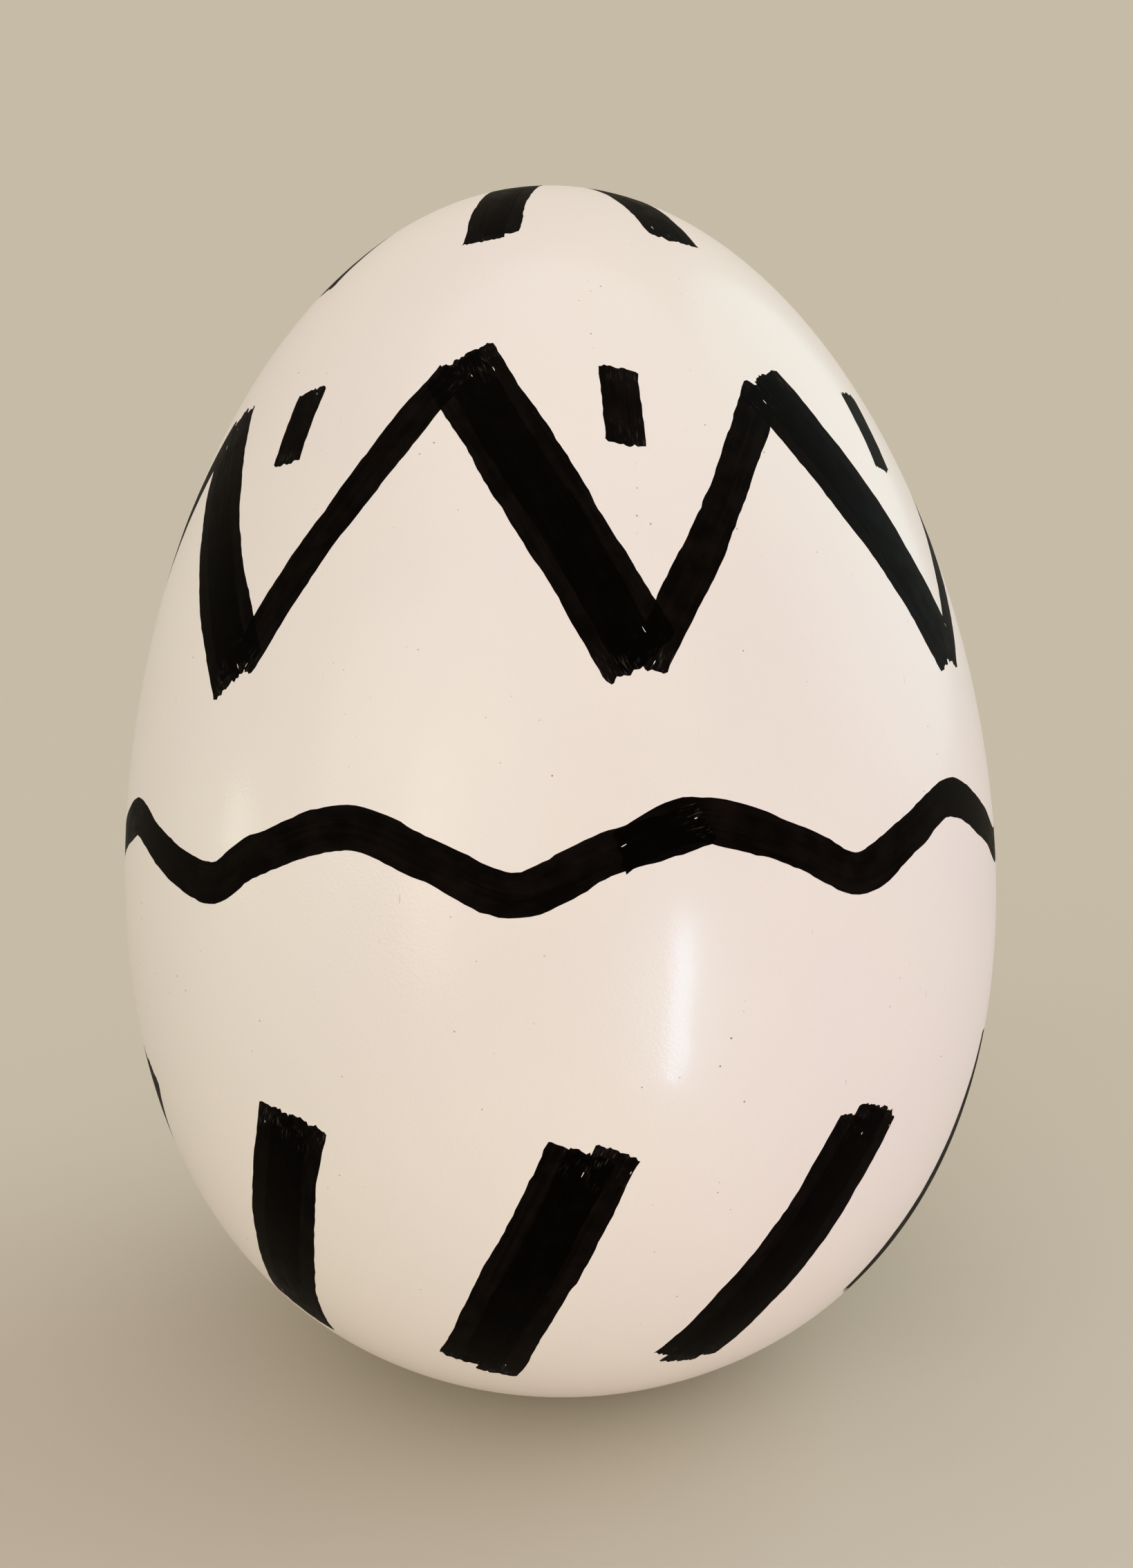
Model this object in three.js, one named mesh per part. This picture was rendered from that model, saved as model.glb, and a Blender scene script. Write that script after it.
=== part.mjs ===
// A decorated egg, standing on its blunt end.
// One closed solid of revolution about +Z, in millimetres.
// The origin is the centre of the small flat spot that the egg rests on.

import * as THREE from "three";

// Driving dimensions
const EGG_LENGTH = 240; // tip to tip, before the blunt end is flattened
const EGG_WIDTH = 175.5; // across the widest ring
const FOOT_RADIUS = 15; // the flat spot under the blunt end

// Shape of the outline: how far it leaves an ellipse, as powers of the sine of latitude
const TAPER = -0.148; // narrows the top and fills out the blunt end
const ROUNDNESS = 0.081; // fills out both ends
const SKEW = -0.019; // sharpens the top a little more

// Fineness of the faceted surface
const SEGMENTS_AROUND = 72;
const RINGS = 40;
const SEARCH_STEPS = 60;

// Finish
const SHELL_COLOUR = 0xe9dfd5;
const SHELL_ROUGHNESS = 0.38;

// How wide the outline is at a latitude, where an ellipse of unit half width has its cosine
function fullness(latitude) {
  const s = Math.sin(latitude);
  return Math.cos(latitude) * (1 + TAPER * s + ROUNDNESS * s ** 2 + SKEW * s ** 3);
}

// The largest fullness of any latitude, by narrowing an interval around the peak
function widestFullness() {
  let low = -Math.PI / 4;
  let high = Math.PI / 4;
  for (let step = 0; step < SEARCH_STEPS; step += 1) {
    const third = (high - low) / 3;
    if (fullness(low + third) < fullness(high - third)) {
      low += third;
    } else {
      high -= third;
    }
  }
  return fullness((low + high) / 2);
}

const halfWidthScale = EGG_WIDTH / 2 / widestFullness();

function radiusAt(latitude) {
  return halfWidthScale * fullness(latitude);
}

function heightAt(latitude) {
  return (EGG_LENGTH / 2) * (1 + Math.sin(latitude));
}

// The latitude near the blunt end where the outline is as wide as the flat spot
function footLatitude() {
  let low = -Math.PI / 2;
  let high = -Math.PI / 4;
  for (let step = 0; step < SEARCH_STEPS; step += 1) {
    const middle = (low + high) / 2;
    if (radiusAt(middle) < FOOT_RADIUS) {
      low = middle;
    } else {
      high = middle;
    }
  }
  return (low + high) / 2;
}

// The outline runs from the middle of the flat spot, along it, and up the side to the pointed top
function outline() {
  const start = footLatitude();
  const footHeight = heightAt(start);
  const points = [new THREE.Vector2(0, 0)];
  for (let ring = 0; ring < RINGS; ring += 1) {
    const latitude = start + ((Math.PI / 2 - start) * ring) / RINGS;
    points.push(new THREE.Vector2(radiusAt(latitude), heightAt(latitude) - footHeight));
  }
  points.push(new THREE.Vector2(0, EGG_LENGTH - footHeight));
  return points;
}

function makeEgg() {
  const geometry = new THREE.LatheGeometry(outline(), SEGMENTS_AROUND);
  const material = new THREE.MeshStandardMaterial({
    color: SHELL_COLOUR,
    roughness: SHELL_ROUGHNESS,
    metalness: 0,
  });
  const egg = new THREE.Mesh(geometry, material);
  egg.name = "egg";
  // The lathe turns about Y, so the egg is tipped up to stand along Z
  egg.rotation.x = Math.PI / 2;
  return egg;
}

const part = new THREE.Group();
part.add(makeEgg());

export default part;
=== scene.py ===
"""Looks of a white satin egg, hand-marked all round with a black chisel-tipped marker.

The surface is worked out in millimetres and made in metres. A place on it is a turn, the angle round the
egg from the front, and a climb, a stretched height that keeps small shapes true wherever they are drawn.
"""

from collections import namedtuple
from math import ceil, pi, radians

import bpy
import numpy as np
from mathutils import Matrix, Quaternion, Vector
from mathutils.geometry import delaunay_2d_cdt
from mathutils.kdtree import KDTree


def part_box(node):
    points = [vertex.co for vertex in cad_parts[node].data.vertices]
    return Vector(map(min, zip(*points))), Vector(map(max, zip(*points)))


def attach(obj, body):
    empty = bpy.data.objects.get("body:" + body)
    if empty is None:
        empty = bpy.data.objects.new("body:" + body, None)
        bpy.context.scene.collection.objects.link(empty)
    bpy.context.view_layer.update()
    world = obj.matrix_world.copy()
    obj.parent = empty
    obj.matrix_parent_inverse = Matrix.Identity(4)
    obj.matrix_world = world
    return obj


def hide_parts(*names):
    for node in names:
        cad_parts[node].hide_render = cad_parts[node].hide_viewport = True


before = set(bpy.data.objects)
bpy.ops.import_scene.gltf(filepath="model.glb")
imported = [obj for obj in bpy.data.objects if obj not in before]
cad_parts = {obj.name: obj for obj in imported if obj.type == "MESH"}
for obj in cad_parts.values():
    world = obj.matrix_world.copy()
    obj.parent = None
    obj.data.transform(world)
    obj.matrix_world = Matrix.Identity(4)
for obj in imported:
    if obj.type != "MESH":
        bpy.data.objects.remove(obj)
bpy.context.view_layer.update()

MM = 0.001

# Outline of the egg, by the solid's own formula
EGG_LENGTH = 240.0
FOOT_RADIUS = 15.0
TAPER = -0.148
ROUNDNESS = 0.081
SKEW = -0.019
TABLE_STEPS = 20001

# Fineness of the mesh, in millimetres
MESH_STEP = 2.3
ROW_RATIO = 0.87
ROW_STAGGER = 0.5
FEWEST_ROUND = 8
TIP_RADIUS = 2.0
CLEAR_OF_INK = 0.9
SIDE_STEP = 1.1
END_STEP = 0.42
ROUTE_STEP = 0.5

# How close two places are that count as one, as a turn or a climb
SAME_CORNER = 1e-7
ON_SEAM = 1e-6
ON_RING = 1e-5

# The triangulation's kind of result: every triangle between the places
EVERY_TRIANGLE = 0

# Room between the marks of two passes, and between the flat maps, in millimetres
PASS_SPREAD = 137.0
MAP_GAP = 8.0


def fullness(latitude):
    """Radius of the outline before it is scaled to the egg's width."""
    s = np.sin(latitude)
    return np.cos(latitude) * (1 + TAPER * s + ROUNDNESS * s**2 + SKEW * s**3)


def summed(rate, places):
    """The running sum of a rate over its places, from nought at the first."""
    return np.r_[0, np.cumsum((rate[1:] + rate[:-1]) / 2 * np.diff(places))]


def surface_tables():
    """Radius, height, climb, distance up the side and normal of the outline, and the height of the tip.

    The tables run from the rim of the foot to the last ring of the mesh, a little below the tip.
    """
    egg_low, egg_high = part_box("egg")
    half_width = (egg_high[0] - egg_low[0]) / 2 / MM
    latitude = np.linspace(-pi / 2, pi / 2, TABLE_STEPS)
    scale = half_width / fullness(latitude).max()
    radius = scale * fullness(latitude)
    quarter = TABLE_STEPS // 4
    foot = np.interp(FOOT_RADIUS, radius[:quarter], latitude[:quarter])
    last = np.interp(TIP_RADIUS, radius[:-quarter:-1], latitude[:-quarter:-1])

    latitude = np.linspace(foot, last, TABLE_STEPS)
    radius = scale * fullness(latitude)
    height = EGG_LENGTH / 2 * (np.sin(latitude) - np.sin(foot))
    step_out = np.gradient(radius, latitude)
    step_up = np.gradient(height, latitude)
    pace = np.hypot(step_out, step_up)
    side = summed(pace, latitude)
    climb = summed(pace / radius, latitude)
    top = EGG_LENGTH / 2 * (1 - np.sin(foot))
    return radius, height, climb, side, step_up / pace, -step_out / pace, top


radii, heights, climbs, sides, normals_out, normals_up, top_height = surface_tables()
HALF_MAP = pi * radii.max()
MAP_SHEET = 2 * HALF_MAP + 3 * MAP_GAP


def radius_at(climb):
    return np.interp(climb, climbs, radii)


def climb_at_height(height):
    return np.interp(height, heights, climbs)


def climb_below_tip(distance):
    """Climb of a place this far from the tip, measured over the surface."""
    return np.interp(sides[-1] + TIP_RADIUS - distance, sides, climbs)


# Routes: the middle lines that the marker follows

CURVE_SAMPLES = 60
FEWEST_SAMPLES = 4

Route = namedtuple("Route", "along turn climb run rise")


def smooth_curve(points):
    """A smooth curve through places, finely sampled."""
    points = np.array(points, float)
    slope = np.gradient(points, np.arange(len(points)), axis=0)
    fine = np.linspace(0, len(points) - 1, CURVE_SAMPLES * len(points))
    before = np.clip(np.floor(fine).astype(int), 0, len(points) - 2)
    t = (fine - before)[:, None]
    return (
        (2 * t**3 - 3 * t**2 + 1) * points[before]
        + (t**3 - 2 * t**2 + t) * slope[before]
        + (3 * t**2 - 2 * t**3) * points[before + 1]
        + (t**3 - t**2) * slope[before + 1]
    )


def route(points):
    """A middle line through places, sampled evenly over the surface, with its direction at each sample."""
    curve = smooth_curve(points)
    middle = radius_at((curve[1:, 1] + curve[:-1, 1]) / 2)
    length = np.r_[0, np.cumsum(np.hypot(*np.diff(curve, axis=0).T) * middle)]
    along = np.linspace(0, length[-1], max(FEWEST_SAMPLES, ceil(length[-1] / ROUTE_STEP)))
    turn = np.interp(along, length, curve[:, 0])
    climb = np.interp(along, length, curve[:, 1])
    radius = radius_at(climb)
    run = np.gradient(turn, along) * radius
    rise = np.gradient(climb, along) * radius
    size = np.hypot(run, rise)
    return Route(along, turn, climb, run / size, rise / size)


def place(line, along, across):
    """The place that lies so far along a route and so far to its left."""
    inside = np.clip(along, 0, line.along[-1])
    over = along - inside
    turn = np.interp(inside, line.along, line.turn)
    climb = np.interp(inside, line.along, line.climb)
    run = np.interp(inside, line.along, line.run)
    rise = np.interp(inside, line.along, line.rise)
    radius = radius_at(climb)
    return turn + (run * over - rise * across) / radius, climb + (rise * over + run * across) / radius


def stroke_position(line, turn, climb):
    """How far along a route and to its left some places are, by its nearest sample."""
    turn = turn - 2 * pi * np.round((turn - line.turn.mean()) / (2 * pi))
    radius = radius_at(line.climb)
    east = (turn[:, None] - line.turn) * radius
    north = (climb[:, None] - line.climb) * radius
    nearest = np.argmin(east**2 + north**2, axis=1)
    rows = np.arange(len(turn))
    east, north = east[rows, nearest], north[rows, nearest]
    run, rise = line.run[nearest], line.rise[nearest]
    return line.along[nearest] + run * east + rise * north, run * north - rise * east


# Marker passes: one sweep of the chisel tip each, in millimetres

CHISEL_TIP = 7.2

# Sides of a sweep: slow wavers, which reach less where they are shorter, and a fine roughness
WAVER_REACH = 0.22
WAVER_REACH_PERIOD = 40
WAVER_PERIODS = (31.0, 13.0, 6.0)
SIDE_ROUGHNESS = 0.045

# Ends of a sweep: a slant, a small step, worn corners and a ragged rim
END_SLANT = 0.22
SLANT_CHANGE = 0.06
NOTCH_PLACE = 0.4
NOTCH_DEPTH = 0.25
CORNER_WEAR = 0.4
CORNER_POWER = 5
END_ROUGHNESS = 0.18
END_STAGGER = 1.6
FEWEST_END_POINTS = 5

# Bare spots, which a worn tip leaves near the ends of a sweep
BARE_CHANCE = 0.45
BARE_FROM_END = (0.6, 5.0)
BARE_SPREAD = 0.45
BARE_LENGTH = (0.3, 1.3)
BARE_WIDTH = (0.08, 0.15)
BARE_CORNERS = 7
BARE_CORNER_REACH = (0.7, 1.2)

Pass = namedtuple("Pass", "line outline bare")


def stray(rng, reach, count=None):
    """How far a hand strays to either side of what it means to do."""
    return rng.uniform(-reach, reach, count)


def waver(places, rng):
    """A slow hand-drawn waver with no jumps."""
    total = np.zeros_like(places)
    for period in WAVER_PERIODS:
        phase = rng.uniform(0, 2 * pi)
        total += np.sin(places * 2 * pi / period + phase) * WAVER_REACH * period / WAVER_REACH_PERIOD
    return total


def end_edge(across, width, slant, rng):
    """How far out the tip's edge reaches: slanted, with a small step, worn corners and a ragged rim."""
    notch = stray(rng, NOTCH_PLACE) * width
    edge = across * slant + np.where(across > notch, 1, -1) * stray(rng, NOTCH_DEPTH)
    worn = CORNER_WEAR * np.abs(across / (width / 2)) ** CORNER_POWER
    return edge - worn + rng.normal(0, END_ROUGHNESS, len(across))


def pass_outline(length, width, offset, slant, rng):
    """Closed outline of one sweep, as distances along and across its route."""
    rows = max(FEWEST_END_POINTS, ceil(width / END_STEP))
    across = np.linspace(-width / 2, width / 2, rows)
    start = -end_edge(across, width, -slant, rng)
    end = length + end_edge(across, width, slant, rng)
    left = np.arange(start[-1] + SIDE_STEP, end[-1] - SIDE_STEP / 2, SIDE_STEP)
    right = np.arange(start[0] + SIDE_STEP, end[0] - SIDE_STEP / 2, SIDE_STEP)
    left_edge = width / 2 + waver(left, rng) + rng.normal(0, SIDE_ROUGHNESS, len(left))
    right_edge = -width / 2 + waver(right, rng) + rng.normal(0, SIDE_ROUGHNESS, len(right))
    along = np.concatenate([right, end, left[::-1], start[::-1]])
    beside = np.concatenate([right_edge, across, left_edge[::-1], across[::-1]])
    return np.c_[along, beside + offset]


def bare_spot(along, across, length, width, rng):
    """A small gap in the ink, drawn out along the stroke."""
    angle = np.arange(BARE_CORNERS) / BARE_CORNERS * 2 * pi
    reach = rng.uniform(*BARE_CORNER_REACH, BARE_CORNERS)
    return np.c_[along + np.cos(angle) * reach * length / 2, across + np.sin(angle) * reach * width / 2]


def bare_spots(length, width, offset, rng):
    """At most one bare spot near each end of a sweep."""
    spots = []
    for end in (0, length):
        if rng.uniform() < BARE_CHANCE:
            along = abs(end - rng.uniform(*BARE_FROM_END))
            across = offset + stray(rng, BARE_SPREAD) * width
            spots.append(bare_spot(along, across, rng.uniform(*BARE_LENGTH), rng.uniform(*BARE_WIDTH), rng))
    return spots


passes = []


def draw(points, width, seed, sweeps=1):
    """One mark of the marker: sweeps side by side that together are as wide as asked."""
    rng = np.random.RandomState(seed)
    line = route(points)
    length = line.along[-1]
    tip = min(CHISEL_TIP, width)
    spread = (width - tip) / 2
    slant = stray(rng, END_SLANT)
    for offset in np.linspace(-spread, spread, sweeps):
        early, late = stray(rng, END_STAGGER, 2) + slant * offset * np.array([1, -1])
        cut = slant + stray(rng, SLANT_CHANGE)
        outline = pass_outline(length - early - late, tip, offset, cut, rng)
        outline[:, 0] += early
        passes.append(Pass(line, outline, bare_spots(length, tip, offset, rng)))


# The drawn pattern: plain bands of the kind that are often painted on eggs

# Sizes are in millimetres and turns in radians, and a STRAY is how far a hand may miss what it aims at
TURN_STRAY = 0.03
STROKE_SEEDS = 10
THIN_SEEDS = 40

MARKS_ROUND = 8
MARKS_PHASE = radians(-13)

RAY_INNER = 14
RAY_INNER_STRAY = 1.5
RAY_OUTER = 56
RAY_OUTER_STRAY = 3
RAY_LEAN_STRAY = 0.05
RAY_WIDTH = 9.5

ZIGZAG_LOW = 140
ZIGZAG_HIGH = 187
ZIGZAG_STRAY = 2
ZIGZAG_BOW_STRAY = 0.02
THICK_STROKE = 12.5
THIN_STROKE = 6.2

GRAIN_HEIGHT = 182
GRAIN_STRAY = 1.5
GRAIN_LENGTH = 15

WAVE_HEIGHT = 113
WAVE_REACH = 5
WAVE_STRAY = 0.7
WAVE_STEP_STRAY = 0.15
WAVE_WIDTH = 6.4
WAVE_PHASE = radians(5)
WAVES = 10
STEPS_PER_WAVE = 4
WAVE_STEPS = WAVES * STEPS_PER_WAVE
WAVE_PIECES = 5
WAVE_OVERLAP = 2

BARS_ROUND = 11
BAR_PHASE = radians(-6)
BAR_LOW = 27
BAR_HIGH = 71
BAR_STRAY = 2.5
BAR_LEAN = radians(17)
BAR_BOW_STRAY = 0.012
BAR_WIDTH = 13
BAR_WIDTH_STRAY = 0.8


def even_turns(count, phase, rng):
    """Turns of marks spaced evenly round the egg, as evenly as a hand does it."""
    return phase + 2 * pi * np.arange(count) / count + stray(rng, TURN_STRAY, count)


def tip_rays(seed):
    """Short thick marks that point away from the tip."""
    rng = np.random.RandomState(seed)
    for i, turn in enumerate(even_turns(MARKS_ROUND, MARKS_PHASE, rng)):
        start = climb_below_tip(RAY_INNER + stray(rng, RAY_INNER_STRAY))
        end = climb_below_tip(RAY_OUTER + stray(rng, RAY_OUTER_STRAY))
        end_turn = turn + stray(rng, RAY_LEAN_STRAY)
        draw([(turn, start), (end_turn, end)], RAY_WIDTH, seed + STROKE_SEEDS + i, sweeps=2)


def zigzag(seed):
    """Thick strokes down and thin strokes up, corner to corner."""
    rng = np.random.RandomState(seed)
    highs = even_turns(MARKS_ROUND, MARKS_PHASE, rng)
    lows = even_turns(MARKS_ROUND, MARKS_PHASE + pi / MARKS_ROUND, rng)
    top = climb_at_height(ZIGZAG_HIGH + stray(rng, ZIGZAG_STRAY, MARKS_ROUND))
    bottom = climb_at_height(ZIGZAG_LOW + stray(rng, ZIGZAG_STRAY, MARKS_ROUND))
    for i in range(MARKS_ROUND):
        after = (i + 1) % MARKS_ROUND
        next_high = highs[after] + (2 * pi if after == 0 else 0)
        bow = stray(rng, ZIGZAG_BOW_STRAY)
        middle = ((highs[i] + lows[i]) / 2 + bow, (top[i] + bottom[i]) / 2)
        down = [(highs[i], top[i]), middle, (lows[i], bottom[i])]
        up = [(lows[i], bottom[i]), (next_high, top[after])]
        draw(down, THICK_STROKE, seed + STROKE_SEEDS + i, sweeps=3)
        draw(up, THIN_STROKE, seed + THIN_SEEDS + i)


def grains(seed):
    """Short upright marks between the zigzag's peaks."""
    rng = np.random.RandomState(seed)
    for i, turn in enumerate(even_turns(MARKS_ROUND, MARKS_PHASE + pi / MARKS_ROUND, rng)):
        middle = GRAIN_HEIGHT + stray(rng, GRAIN_STRAY)
        bottom, top = climb_at_height(np.array([middle - GRAIN_LENGTH / 2, middle + GRAIN_LENGTH / 2]))
        draw([(turn, bottom), (turn + stray(rng, TURN_STRAY), top)], THIN_STROKE, seed + STROKE_SEEDS + i)


def wave(seed):
    """A wavy line round the egg, drawn in pieces that run a little past each other."""
    rng = np.random.RandomState(seed)
    steps = np.arange(WAVE_STEPS + WAVE_OVERLAP)
    turns = WAVE_PHASE + 2 * pi * (steps + stray(rng, WAVE_STEP_STRAY, len(steps))) / WAVE_STEPS
    swing = np.sin(steps * 2 * pi / STEPS_PER_WAVE)
    levels = WAVE_HEIGHT + WAVE_REACH * swing + stray(rng, WAVE_STRAY, len(steps))
    levels[-WAVE_OVERLAP:] = levels[:WAVE_OVERLAP]
    places = list(zip(turns, climb_at_height(levels)))
    per_piece = WAVE_STEPS // WAVE_PIECES
    for i in range(WAVE_PIECES):
        piece = places[per_piece * i : per_piece * (i + 1) + WAVE_OVERLAP]
        draw(piece, WAVE_WIDTH, seed + STROKE_SEEDS + i)


def slanted_bars(seed):
    """Thick leaning marks low on the egg."""
    rng = np.random.RandomState(seed)
    for i, turn in enumerate(even_turns(BARS_ROUND, BAR_PHASE, rng)):
        bottom = climb_at_height(BAR_LOW + stray(rng, BAR_STRAY))
        top = climb_at_height(BAR_HIGH + stray(rng, BAR_STRAY))
        half_lean = (BAR_LEAN + stray(rng, TURN_STRAY)) / 2
        middle = (turn + stray(rng, BAR_BOW_STRAY), (bottom + top) / 2)
        width = BAR_WIDTH + stray(rng, BAR_WIDTH_STRAY)
        bar = [(turn - half_lean, bottom), middle, (turn + half_lean, top)]
        draw(bar, width, seed + STROKE_SEEDS + i, sweeps=3)


tip_rays(seed=100)
zigzag(seed=200)
grains(seed=300)
wave(seed=400)
slanted_bars(seed=500)


# The mesh: one skin, in which the edges of the ink are real edges

def background_places():
    """Even rows of places between the sides of the seam at the back, and the climb of each row."""
    rows = ceil(sides[-1] / (MESH_STEP * ROW_RATIO))
    levels = np.interp(np.linspace(0, sides[-1], rows + 1), sides, climbs)
    inner = []
    for row, climb in enumerate(levels):
        count = max(FEWEST_ROUND, round(2 * pi * radius_at(climb) / MESH_STEP))
        shift = (row % 2 - 0.5) * ROW_STAGGER
        turns = -pi + 2 * pi * (np.arange(1, count) + shift) / count
        inner += [(turn, climb) for turn in turns]
    return inner, levels


def copies_over_seam(outline):
    """The outline, and its copy a whole turn away where it crosses the seam."""
    copies = [outline]
    if outline[:, 0].max() > pi:
        copies.append(outline - [2 * pi, 0])
    if outline[:, 0].min() < -pi:
        copies.append(outline + [2 * pi, 0])
    return copies


def ink_outlines():
    """Every outline as places, with the pass that it belongs to, or -1 where it is bare."""
    found = []
    for k, sweep in enumerate(passes):
        shapes = [(k, sweep.outline)] + [(-1, spot) for spot in sweep.bare]
        for owner, shape in shapes:
            around = np.c_[place(sweep.line, shape[:, 0], shape[:, 1])]
            found += [(owner, copy) for copy in copies_over_seam(around)]
    return found


def triangulate():
    """Triangles of the flat map of turn and climb, with the outlines that each lies in."""
    inner, levels = background_places()
    outlines = ink_outlines()
    edge_points = np.concatenate([shape for _, shape in outlines])
    near = KDTree(len(edge_points))
    for k, (turn, climb) in enumerate(edge_points):
        near.insert((turn, climb, 0), k)
    near.balance()

    def clear(turn, climb):
        return near.find((turn, climb, 0))[2] * radius_at(climb) > CLEAR_OF_INK

    seam = [c for c in levels if c in (levels[0], levels[-1]) or (clear(-pi, c) and clear(pi, c))]
    points = [(-pi, c) for c in seam] + [(pi, c) for c in seam]
    edges = [(k, k + 1) for k in range(len(seam) - 1)]
    edges += [(a + len(seam), b + len(seam)) for a, b in edges]
    points += [p for p in inner if clear(*p)]
    faces, owners = [], []
    for owner, shape in outlines:
        faces.append(list(range(len(points), len(points) + len(shape))))
        owners.append(owner)
        points += [tuple(p) for p in shape]
    corners = [Vector(p) for p in points]
    made = delaunay_2d_cdt(corners, edges, faces, EVERY_TRIANGLE, SAME_CORNER, True)
    made_corners, _, triangles, _, _, inside_of = made
    places = np.array([tuple(v) for v in made_corners])
    return places, triangles, inside_of, owners


def welded(places, faces, inside_of, owners):
    """Drops what lies past the seam and joins its two sides.

    With each triangle come the pass on top, or -1 where it is bare, and how many passes cover it.
    """
    seam_left = np.where(np.abs(places[:, 0] + pi) < ON_SEAM)[0]
    seam_right = np.where(np.abs(places[:, 0] - pi) < ON_SEAM)[0]
    seam_left = seam_left[np.argsort(places[seam_left, 1])]
    seam_right = seam_right[np.argsort(places[seam_right, 1])]
    if len(seam_left) != len(seam_right):
        raise ValueError(f"the seam's sides differ: {len(seam_left)} and {len(seam_right)}")
    join = dict(zip(seam_right.tolist(), seam_left.tolist()))
    triangles, tops, coats = [], [], []
    for face, outlines in zip(faces, inside_of):
        if abs(sum(places[v][0] for v in face) / len(face)) > pi:
            continue
        below = [owners[k] for k in outlines]
        inked = bool(below) and -1 not in below
        triangles.append([join.get(v, v) for v in face])
        tops.append(max(below) if inked else -1)
        coats.append(len(set(below)) if inked else 0)
    return triangles, np.array(tops), np.array(coats)


def skin():
    """Triangles between the foot and the last ring, what each carries, and their corners' places."""
    places, faces, inside_of, owners = triangulate()
    triangles, tops, coats = welded(places, faces, inside_of, owners)
    used, flat = np.unique(np.array(triangles), return_inverse=True)
    turn, climb = places[used].T
    return flat.reshape(-1, 3), tops, coats, turn, climb


def stroke_marks(triangles, tops, turn, climb):
    """Along, across and distance from the nearer end, in millimetres, for each corner of the inked faces."""
    marks = np.zeros((len(triangles), 3, 3))
    for k in np.unique(tops[tops >= 0]):
        chosen = tops == k
        spots = triangles[chosen].ravel()
        line = passes[k].line
        along, across = stroke_position(line, turn[spots], climb[spots])
        from_end = np.minimum(along, line.along[-1] - along)
        marks[chosen] = np.c_[along + PASS_SPREAD * k, across, from_end].reshape(-1, 3, 3)
    return marks


def bake_map(triangles, turn, climb):
    """Two flat lens-shaped maps of true area, the front half and the back half side by side."""
    corner_turn = turn[triangles]
    first = corner_turn[:, :1]
    corner_turn = corner_turn - 2 * pi * np.round((corner_turn - first) / (2 * pi))
    centre = corner_turn.mean(1, keepdims=True)
    back = np.cos(centre) < 0
    middle = np.where(back, pi * np.sign(centre), 0)
    radius = radius_at(climb[triangles])
    side = np.interp(climb[triangles], climbs, sides)
    left = MAP_GAP + HALF_MAP / 2 + np.where(back, HALF_MAP + MAP_GAP, 0)
    u = (left + (corner_turn - middle) * radius) / MAP_SHEET
    v = (side + FOOT_RADIUS + MAP_GAP) / MAP_SHEET
    return np.stack([u, v], -1)


def cap_map(corners, which):
    """A cap's own small round map, above the two halves' maps."""
    middle = np.array([(MAP_GAP + FOOT_RADIUS) * (1 + 2 * which), MAP_SHEET - FOOT_RADIUS - MAP_GAP])
    return (corners[:, :, :2] + middle) / MAP_SHEET


def points_and_normals(turn, climb):
    radius = radius_at(climb)
    out = np.interp(climb, climbs, normals_out)
    points = np.c_[radius * np.sin(turn), -radius * np.cos(turn), np.interp(climb, climbs, heights)]
    normals = np.c_[out * np.sin(turn), -out * np.cos(turn), np.interp(climb, climbs, normals_up)]
    return points, normals


def facing_out(triangles, points, normals):
    """The triangles, turned over where they face into the egg."""
    a, b, c = (points[triangles[:, k]] for k in range(3))
    inward = (np.cross(b - a, c - a) * normals[triangles[:, 0]]).sum(1) < 0
    return np.where(inward[:, None], triangles[:, ::-1], triangles)


def ring(turn, climb, level):
    """Corners of the skin's first or last row, in order round the egg."""
    found = np.where(np.abs(climb - level) < ON_RING)[0]
    return found[np.argsort(turn[found])]


def cap_fans(turn, climb):
    """Fans of triangles that close the foot and the tip, round two points that come after the skin's."""
    foot = ring(turn, climb, climbs[0])
    last = ring(turn, climb, climbs[-1])
    middle, apex = len(turn), len(turn) + 1
    foot_fan = [(middle, foot[k], foot[k - 1]) for k in range(len(foot))]
    tip_fan = [(apex, last[k - 1], last[k]) for k in range(len(last))]
    return np.array(foot_fan), np.array(tip_fan)


def add_map(mesh, name, values):
    layer = mesh.uv_layers.new(name=name)
    layer.data.foreach_set("uv", values.ravel())


def add_attribute(mesh, name, domain, values):
    layer = mesh.attributes.new(name, "FLOAT", domain)
    layer.data.foreach_set("value", values.ravel())


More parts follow.
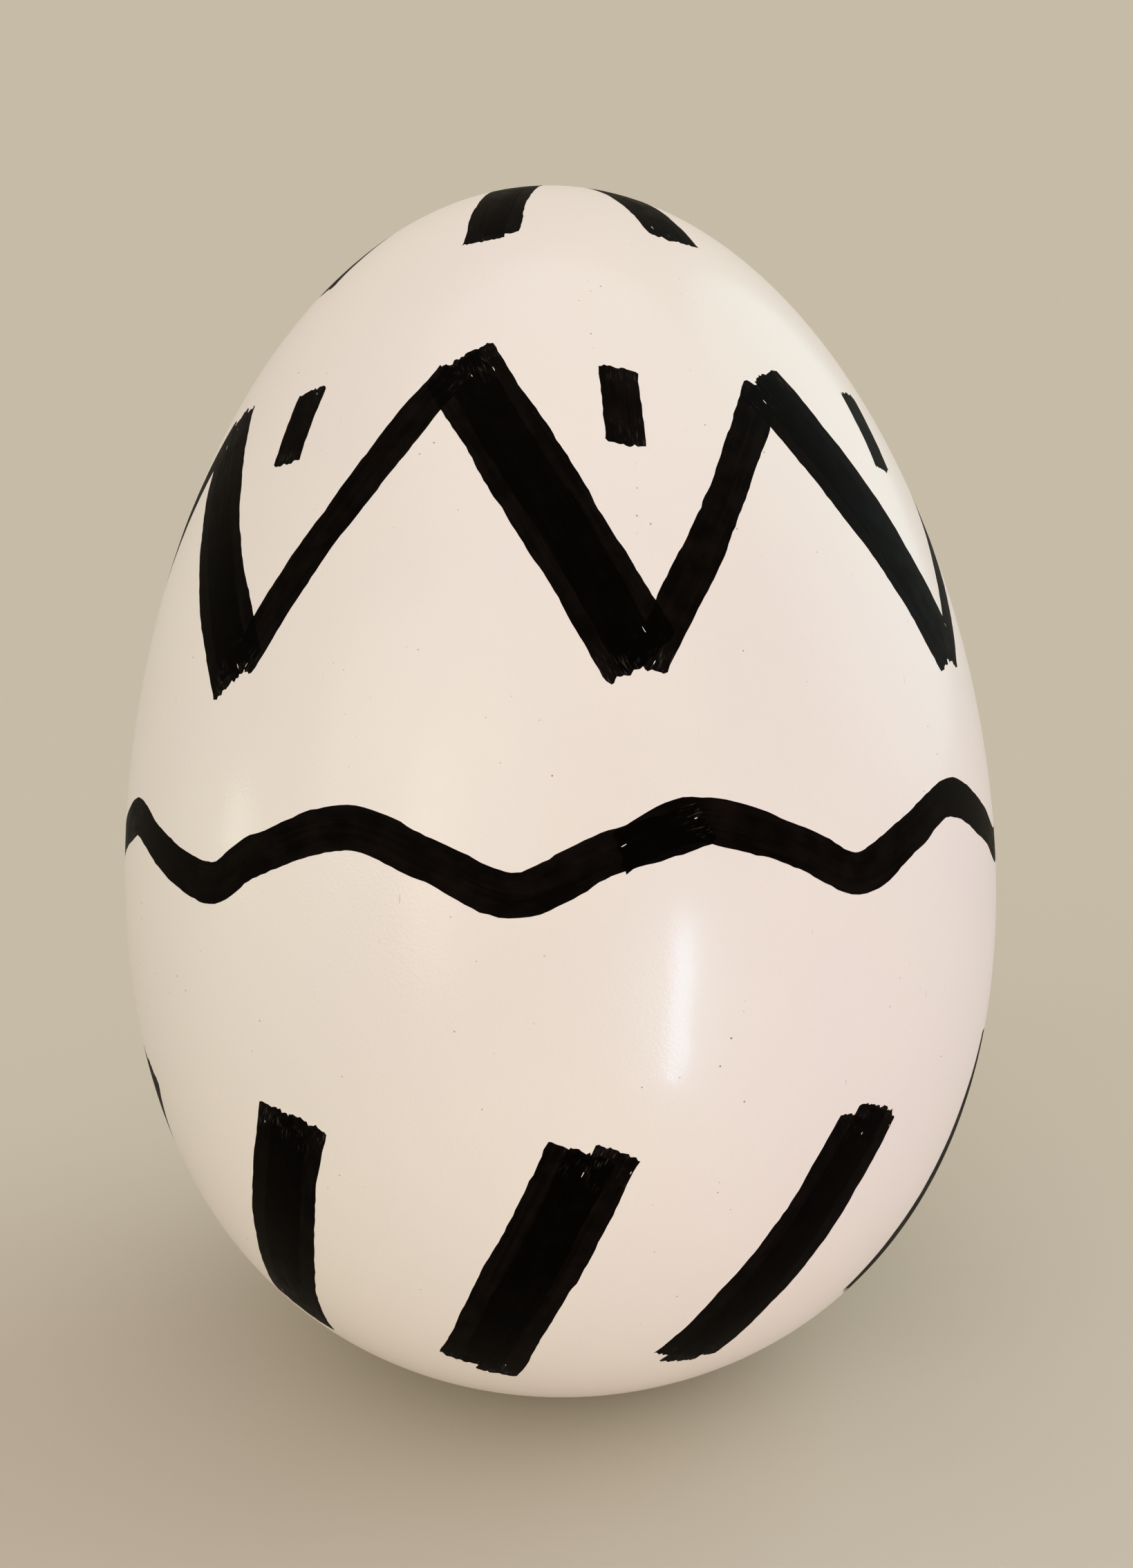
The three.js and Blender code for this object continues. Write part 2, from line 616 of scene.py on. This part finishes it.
def build_egg():
    """The egg as one closed mesh, whose ink faces carry where they lie along and across their stroke."""
    triangles, tops, coats, turn, climb = skin()
    points, normals = points_and_normals(turn, climb)
    triangles = facing_out(triangles, points, normals)
    foot_fan, tip_fan = cap_fans(turn, climb)
    points = np.r_[points, [[0, 0, 0], [0, 0, top_height]]]
    normals = np.r_[normals, [[0, 0, -1], [0, 0, 1]]]
    faces = np.r_[triangles, foot_fan, tip_fan]
    capped = len(foot_fan) + len(tip_fan)

    corner_normals = normals[faces]
    corner_normals[len(triangles) : len(triangles) + len(foot_fan)] = (0, 0, -1)
    halves = bake_map(triangles, turn, climb)
    flat = np.concatenate([halves, cap_map(points[foot_fan], 0), cap_map(points[tip_fan], 1)])
    marks = np.concatenate([stroke_marks(triangles, tops, turn, climb), np.zeros((capped, 3, 3))])
    inked = np.r_[tops >= 0, np.zeros(capped, bool)]

    mesh = bpy.data.meshes.new("painted_egg")
    mesh.from_pydata((points * MM).tolist(), [], faces.tolist())
    mesh.shade_smooth()
    add_map(mesh, "OFBake", flat)
    add_map(mesh, "stroke", marks[:, :, :2])
    add_attribute(mesh, "coats", "FACE", np.r_[coats, np.zeros(capped)])
    add_attribute(mesh, "from_end", "CORNER", marks[:, :, 2])
    mesh.polygons.foreach_set("material_index", inked.astype(int))
    mesh.normals_split_custom_set(corner_normals.reshape(-1, 3).tolist())
    mesh.validate()
    made = bpy.data.objects.new("painted_egg", mesh)
    bpy.context.collection.objects.link(made)
    return made


# Materials

def add_node(tree, kind, inputs=None, **settings):
    """A shader node. An input is given by its name or number, as a value or as another node's socket."""
    made = tree.nodes.new(kind)
    for name, value in settings.items():
        setattr(made, name, value)
    for name, value in (inputs or {}).items():
        if isinstance(value, bpy.types.NodeSocket):
            tree.links.new(value, made.inputs[name])
        else:
            made.inputs[name].default_value = value
    return made


def new_material(name):
    material = bpy.data.materials.new(name)
    material.use_nodes = True
    tree = material.node_tree
    tree.nodes.clear()
    return material, tree


def shade(tree, kind, inputs):
    """A shader of this kind, joined to its material's output."""
    shader = add_node(tree, kind, inputs)
    add_node(tree, "ShaderNodeOutputMaterial", {"Surface": shader.outputs[0]})


def ramp(tree, value, low, high, to_low=0.0, to_high=1.0):
    """A value scaled from one range to another and held inside it."""
    inputs = {"Value": value, "From Min": low, "From Max": high, "To Min": to_low, "To Max": to_high}
    return add_node(tree, "ShaderNodeMapRange", inputs, clamp=True).outputs[0]


def calc(tree, operation, a, b):
    return add_node(tree, "ShaderNodeMath", {0: a, 1: b}, operation=operation).outputs[0]


def mix(tree, factor, a, b):
    """A blend of two colours, whose sockets have no names of their own."""
    return add_node(tree, "ShaderNodeMix", {0: factor, 6: a, 7: b}, data_type="RGBA").outputs[2]


def noise(tree, where, cells, detail, output=0):
    """Cloudy values round a half, or as output 1 cloudy colours, with so many cells to a unit of length."""
    inputs = {"Vector": where, "Scale": cells, "Detail": detail}
    return add_node(tree, "ShaderNodeTexNoise", inputs).outputs[output]


def scaled(tree, where, scale, **placing):
    """Places drawn out or squeezed along each direction, then turned and moved where asked."""
    inputs = {"Vector": where, "Scale": scale} | placing
    return add_node(tree, "ShaderNodeMapping", inputs).outputs[0]


def bumps(tree, height, depth):
    inputs = {"Height": height, "Distance": depth, "Strength": 1.0}
    return add_node(tree, "ShaderNodeBump", inputs).outputs[0]


# Paint of the shell, with sizes in metres and cells to a metre
SHELL_PINK = (0.812, 0.732, 0.695, 1)
SHELL_CREAM = (0.827, 0.752, 0.70, 1)
MOTTLE_CELLS = 24
MOTTLE_DETAIL = 3
PINK_TO_CREAM = (0.35, 0.65)
SMOOTH_TO_ROUGH = (0.3, 0.7)
SHELL_SMOOTHEST = 0.38
SHELL_ROUGHEST = 0.44
SHELL_SPECULAR = 0.4
COAT_WEIGHT = 0.3
COAT_ROUGHNESS = 0.09
PEEL_CELLS = 2200
PEEL_DETAIL = 1.5
PEEL_DEPTH = 0.000031

# Dark specks, and faint hair marks, which are specks drawn out and bent
SPECK = (0.20, 0.145, 0.11, 1)
SPECK_SPACING = 0.0019
SPECK_RADIUS = 0.0002
SPECK_SHARE = 0.25
SMALLEST_SPECK = 0.4
SOLID_MIDDLE = 0.6
CHANCE_EDGE = 0.01
CROWD_CELLS = 38
CROWD_DETAIL = 1
FEW_TO_MANY = (0.42, 0.62)
HAIR_SPACING = 0.003
HAIR_RADIUS = 0.00011
HAIR_SHARE = 0.5
HAIR_SQUEEZE = (1, 1, 0.11)
HAIR_STRENGTH = 0.35
HAIR_BEND = 0.0009
HAIR_BEND_CELLS = 300
HAIR_TURNS_AND_SHIFTS = (((0.4, 0.9, 0.2), 0.0), ((1.3, -0.4, 0.8), 0.31), ((-0.7, 0.3, 1.9), 0.57))


def speckles(tree, where, spacing, radius, share):
    """Round specks of mixed sizes, where the surface passes close to scattered points."""
    cells = add_node(tree, "ShaderNodeTexVoronoi", {"Vector": where, "Scale": 1 / spacing})
    chance = add_node(tree, "ShaderNodeSeparateColor", {"Color": cells.outputs["Color"]}).outputs
    chosen = ramp(tree, chance[0], 1 - share, 1 - share + CHANCE_EDGE)
    reach = ramp(tree, chance[1], 0, 1, SMALLEST_SPECK * radius / spacing, radius / spacing)
    solid = calc(tree, "MULTIPLY", reach, SOLID_MIDDLE)
    spot = ramp(tree, cells.outputs["Distance"], solid, reach, 1, 0)
    return calc(tree, "MULTIPLY", spot, chosen)


def shell_material():
    """Satin white with a fine orange peel, a few dark specks and faint hair marks."""
    material, tree = new_material("shell_paint")
    where = add_node(tree, "ShaderNodeTexCoord").outputs["Object"]
    mottle = noise(tree, where, MOTTLE_CELLS, MOTTLE_DETAIL)
    colour = mix(tree, ramp(tree, mottle, *PINK_TO_CREAM), SHELL_PINK, SHELL_CREAM)

    specks = speckles(tree, where, SPECK_SPACING, SPECK_RADIUS, SPECK_SHARE)
    crowded = ramp(tree, noise(tree, where, CROWD_CELLS, CROWD_DETAIL), *FEW_TO_MANY)
    colour = mix(tree, calc(tree, "MULTIPLY", specks, crowded), colour, SPECK)

    bend = {0: noise(tree, where, HAIR_BEND_CELLS, 0, output=1), "Scale": HAIR_BEND}
    shifted = add_node(tree, "ShaderNodeVectorMath", bend, operation="SCALE").outputs[0]
    curved = add_node(tree, "ShaderNodeVectorMath", {0: where, 1: shifted}, operation="ADD").outputs[0]
    for turn, shift in HAIR_TURNS_AND_SHIFTS:
        drawn_out = scaled(tree, curved, HAIR_SQUEEZE, Location=(shift, shift, shift), Rotation=turn)
        hairs = speckles(tree, drawn_out, HAIR_SPACING, HAIR_RADIUS, HAIR_SHARE)
        colour = mix(tree, calc(tree, "MULTIPLY", hairs, HAIR_STRENGTH), colour, SPECK)

    peel = bumps(tree, noise(tree, where, PEEL_CELLS, PEEL_DETAIL), PEEL_DEPTH)
    inputs = {
        "Base Color": colour,
        "Roughness": ramp(tree, mottle, *SMOOTH_TO_ROUGH, SHELL_SMOOTHEST, SHELL_ROUGHEST),
        "Specular IOR Level": SHELL_SPECULAR,
        "Coat Weight": COAT_WEIGHT,
        "Coat Roughness": COAT_ROUGHNESS,
        "Normal": peel,
        "Coat Normal": peel,
    }
    shade(tree, "ShaderNodeBsdfPrincipled", inputs)
    return material


# Marker ink, with sizes in millimetres of the stroke, but depths in metres
INK_BLACK = (0.0003, 0.0002, 0.00015, 1)
INK_BROWN = (0.0055, 0.0038, 0.0030, 1)
INK_WORN = (0.075, 0.065, 0.057, 1)
INK_GLOSS = (1, 0.84, 0.72, 1)
INK_SPECULAR = 0.01
GLOSSY_TO_MATT = (0.35, 0.65)
INK_SMOOTHEST = 0.40
INK_ROUGHEST = 0.54

# Streaks and patches of thin ink, which show brown
STREAK_SCALE = (0.05, 1.5, 1)
STREAK_DETAIL = 3
STREAK_DEPTH = 0.00003
PATCH_CELLS = 0.23
PATCH_DETAIL = 3
PATCH_SHARE = 0.6
STREAK_SHARE = 0.4
THICK_TO_THIN = (0.42, 0.62)
LEAST_BROWN = 0.3
BROWN_IN_TWO_COATS = 0.25

# Thin lines in which the ink is worn, near the ends of a stroke
LINE_SCALE = (0.5, 3.5, 1)
LINE_DETAIL = 2
WHOLE_TO_LINED = (0.55, 0.72)
WHOLE_TO_WORN = (0.48, 0.60)
WORN_FULLY_WITHIN = 1.5
WORN_WITHIN = 6
WORN_STRENGTH = 0.55


def ink_material():
    """Dense black marker: streaked along each stroke, worn in thin lines near its ends."""
    material, tree = new_material("marker_ink")
    stroke = add_node(tree, "ShaderNodeUVMap", uv_map="stroke").outputs[0]
    coats = add_node(tree, "ShaderNodeAttribute", attribute_name="coats").outputs["Fac"]
    from_end = add_node(tree, "ShaderNodeAttribute", attribute_name="from_end").outputs["Fac"]
    streaks = noise(tree, scaled(tree, stroke, STREAK_SCALE), 1, STREAK_DETAIL)
    patch = noise(tree, stroke, PATCH_CELLS, PATCH_DETAIL)
    patch_part = calc(tree, "MULTIPLY", patch, PATCH_SHARE)
    streak_part = calc(tree, "MULTIPLY", streaks, STREAK_SHARE)
    uneven = calc(tree, "ADD", patch_part, streak_part)

    single = ramp(tree, coats, 1, 2, 1, BROWN_IN_TWO_COATS)
    thin = calc(tree, "MULTIPLY", ramp(tree, uneven, *THICK_TO_THIN, LEAST_BROWN, 1), single)
    colour = mix(tree, thin, INK_BLACK, INK_BROWN)

    lines = noise(tree, scaled(tree, stroke, LINE_SCALE), 1, LINE_DETAIL)
    worn = calc(tree, "MULTIPLY", ramp(tree, lines, *WHOLE_TO_LINED), ramp(tree, patch, *WHOLE_TO_WORN))
    near_end = ramp(tree, from_end, WORN_FULLY_WITHIN, WORN_WITHIN, WORN_STRENGTH, 0)
    colour = mix(tree, calc(tree, "MULTIPLY", worn, near_end), colour, INK_WORN)

    inputs = {
        "Base Color": colour,
        "Roughness": ramp(tree, uneven, *GLOSSY_TO_MATT, INK_SMOOTHEST, INK_ROUGHEST),
        "Specular IOR Level": INK_SPECULAR,
        "Specular Tint": INK_GLOSS,
        "Normal": bumps(tree, streaks, STREAK_DEPTH),
    }
    shade(tree, "ShaderNodeBsdfPrincipled", inputs)
    return material


egg = build_egg()
egg.data.materials.append(shell_material())
egg.data.materials.append(ink_material())
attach(egg, "root")
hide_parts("egg")


# Floor and surroundings, whose colours meet at the horizon

SURROUND = (0.565, 0.497, 0.386, 1)
FLOOR = (0.5795, 0.5303, 0.4457, 1)
FLOOR_REACH = 30.0


def build_floor():
    mesh = bpy.data.meshes.new("floor")
    r = FLOOR_REACH
    mesh.from_pydata([(-r, -r, 0), (r, -r, 0), (r, r, 0), (-r, r, 0)], [], [(0, 1, 2, 3)])
    material, tree = new_material("floor_plain")
    shade(tree, "ShaderNodeBsdfDiffuse", {"Color": FLOOR})
    mesh.materials.append(material)
    floor = bpy.data.objects.new("floor", mesh)
    bpy.context.collection.objects.link(floor)


def surround():
    world = bpy.data.worlds.new("surround")
    world.use_nodes = True
    world.node_tree.nodes["Background"].inputs["Color"].default_value = SURROUND
    bpy.context.scene.world = world


build_floor()
surround()


# Lights: three broad ones, two soft fills from below, and four things of the room that show in the gloss

EGG_MIDDLE = Vector((0, 0, 0.13))
STREAK_PLACE = Vector((0.0175, -0.0855, 0.0945))
SUN_DISTANCE = 2.0


def light_from(name, kind, turn, elevation, power, colour, distance, aim=EGG_MIDDLE, lean=0, **shape):
    """A light that shines on a point from a turn, to the right of the front, and an elevation."""
    data = bpy.data.lights.new(name, kind)
    data.energy = power
    data.color = colour
    for key, value in shape.items():
        setattr(data, key, value)
    light = bpy.data.objects.new(name, data)
    a, e = radians(turn), radians(elevation)
    away = Vector((np.sin(a) * np.cos(e), -np.cos(a) * np.cos(e), np.sin(e)))
    light.location = aim + away * distance
    light.rotation_mode = "QUATERNION"
    light.rotation_quaternion = away.to_track_quat("Z", "Y") @ Quaternion((0, 0, 1), radians(-lean))
    light.visible_camera = False
    bpy.context.collection.objects.link(light)
    return light


def sun(name, turn, elevation, power, colour, spread):
    """A broad light on everything, as wide as a spread in degrees."""
    light_from(name, "SUN", turn, elevation, power, colour, SUN_DISTANCE, angle=radians(spread))


def egg_only(light):
    """Keeps a light, and the shadows in it, to the egg.

    Some of these lights lie partly or wholly below the floor, which would stop the rays that multiple
    importance sampling sends from the egg to them, so that is off.
    """
    light.data.cycles.use_multiple_importance_sampling = False
    chosen = bpy.data.collections.new(light.name + "_only_on")
    chosen.objects.link(egg)
    light.light_linking.receiver_collection = chosen
    light.light_linking.blocker_collection = chosen


def fill(name, **settings):
    """A soft light on the egg alone that isn't seen in its gloss."""
    light = light_from(name, "AREA", **settings)
    light.visible_glossy = False
    egg_only(light)


def reflection(name, **settings):
    """A bright thing of the room that is seen only in the egg's gloss."""
    light = light_from(name, "AREA", **settings)
    light.visible_diffuse = False
    egg_only(light)


sun("front", turn=-33, elevation=9, power=0.955, colour=(0.775, 1, 0.982), spread=56)
sun("side", turn=106, elevation=32, power=0.84, colour=(0.68, 0.99, 1), spread=60)
sun("above", turn=6, elevation=62, power=1.0, colour=(0.942, 0.857, 1), spread=70)

fill(
    "low", turn=57, elevation=-20.5, power=0.19, colour=(0.64, 0.56, 1), distance=0.31,
    shape="RECTANGLE", size=0.5, size_y=0.03,
)
fill(
    "under", turn=8, elevation=-42, power=0.28, colour=(1, 0.905, 0.715), distance=0.45,
    shape="DISK", size=0.3,
)
reflection(
    "strip", turn=28, elevation=-19, power=0.05, colour=(0.42, 0.8, 1), distance=0.115,
    aim=STREAK_PLACE, lean=6, shape="RECTANGLE", size=0.008, size_y=0.071,
)
reflection(
    "glow", turn=-29, elevation=0, power=0.9, colour=(1, 0.78, 0.56), distance=1.0,
    shape="ELLIPSE", size=0.22, size_y=0.55,
)
reflection(
    "doorway", turn=29, elevation=14, power=0.2, colour=(1, 0.9, 0.95), distance=1.0,
    shape="ELLIPSE", size=0.25, size_y=0.8,
)
reflection(
    "window", turn=-80, elevation=1, power=0.38, colour=(0.93, 1, 0.88), distance=1.0,
    shape="ELLIPSE", size=0.14, size_y=0.2,
)


# Camera, fitted to the photograph

CAMERA_PLACE = (0.0016, -0.2517, 0.1321)
CAMERA_DOWN = 3.0
CAMERA_ROLL = -1.46
LENS = 27.05
SENSOR_WIDTH = 36
NEAREST_SEEN = 0.01


def build_camera():
    data = bpy.data.cameras.new("camera")
    data.sensor_width = SENSOR_WIDTH
    data.lens = LENS
    data.clip_start = NEAREST_SEEN
    camera = bpy.data.objects.new("camera", data)
    down = Matrix.Rotation(radians(90 - CAMERA_DOWN), 4, "X")
    roll = Matrix.Rotation(radians(CAMERA_ROLL), 4, "Z")
    camera.matrix_world = Matrix.Translation(CAMERA_PLACE) @ (down @ roll)
    bpy.context.collection.objects.link(camera)
    bpy.context.scene.camera = camera


build_camera()
bpy.context.scene.view_settings.view_transform = "Standard"
